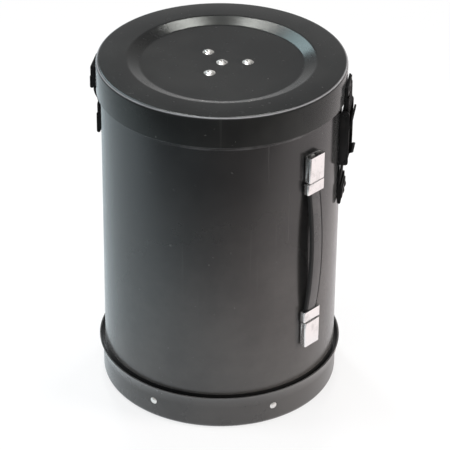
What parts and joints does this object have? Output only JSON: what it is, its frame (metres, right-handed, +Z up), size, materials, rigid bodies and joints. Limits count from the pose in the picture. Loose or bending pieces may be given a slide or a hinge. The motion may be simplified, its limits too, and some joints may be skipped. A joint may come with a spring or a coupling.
{
  "type": "cylindrical carrying case",
  "caption": "Black cylindrical carrying case with a riveted base tray, a dished lid on a webbing hinge, a strap with a cam buckle and a side strap handle.",
  "frame": {"origin": "middle of the flat underside of the base tray", "axes": "+Z up along the tube, +X towards the buckle, -X towards the hinge"},
  "size_m": [0.3204, 0.304, 0.436],
  "materials": {
    "shell": "satin, finely grained",
    "rivets": "satin",
    "board": "hardboard",
    "backing": "zinc plated",
    "nickel": "bright nickel plate",
    "spring_steel": "blued strip",
    "grip": "moulded, soft sheen",
    "webbing": "woven",
    "black_steel": "black, worn at the edges"
  },
  "bodies": {
    "case": {"shell_tube": "shell", "seam_strip": "shell", "seam_rivets": "rivets", "base_tray": "shell", "base_rivets": "rivets", "floor_board": "board", "upper_cap": "nickel", "lower_cap": "nickel", "cap_washers": "backing", "cap_rivets": "rivets", "handle_pins": "nickel", "hinge_strap": "webbing", "hinge_lower_plate": "black_steel", "hinge_rivets": "black_steel", "closing_strap": "webbing", "closing_plate": "black_steel", "closing_rivets": "black_steel"},
    "lid": {"lid_pan": "shell", "lid_backing": "backing", "lid_rivets": "rivets", "lid_strap_rivets": "black_steel", "hinge_upper_plate": "black_steel", "buckle_tab": "webbing", "buckle_tab_plate": "black_steel"},
    "buckle": {"buckle_frame": "black_steel", "buckle_bar": "black_steel", "cam_pin": "black_steel"},
    "lever": {"cam_lever": "black_steel"},
    "grip": {"handle_grip": "grip", "handle_core": "spring_steel"},
    "upper_ferrule": {"upper_ferrule": "nickel"},
    "lower_ferrule": {"lower_ferrule": "nickel"}
  },
  "joints": [
    {"name": "lid_hinge", "type": "hinge", "parent": "case", "child": "lid", "pos_m": [-0.153, 0, 0.4005], "axis": [0, -1, 0], "range_deg": [0, 120], "deforming": ["hinge_strap", "closing_strap"]},
    {"name": "buckle_swing", "type": "hinge", "parent": "lid", "child": "buckle", "pos_m": [0.1515, 0, 0.3835], "axis": [0, -1, 0], "range_deg": [0, 90], "deforming": ["closing_strap"]},
    {"name": "cam_release", "type": "hinge", "parent": "buckle", "child": "lever", "pos_m": [0.1537, 0, 0.322], "axis": [0, 1, 0], "range_deg": [0, 60]},
    {"name": "handle_pull", "type": "slide", "parent": "case", "child": "grip", "axis": [0.829, -0.5592, 0], "range_m": [0, 0.007], "stiffness_N_per_m": 900},
    {"name": "upper_tilt", "type": "hinge", "parent": "case", "child": "upper_ferrule", "pos_m": [0.12436, -0.08388, 0.3345], "axis": [-0.5592, -0.829, 0], "range_deg": [-2, 25.1]},
    {"name": "lower_tilt", "type": "hinge", "parent": "case", "child": "lower_ferrule", "pos_m": [0.12436, -0.08388, 0.1275], "axis": [0.5592, 0.829, 0], "range_deg": [-2, 25.1]}
  ],
  "couplings": [
    {"joint": "upper_tilt", "follows": "handle_pull", "rad_per_m": 57.596},
    {"joint": "lower_tilt", "follows": "handle_pull", "rad_per_m": 57.596}
  ]
}
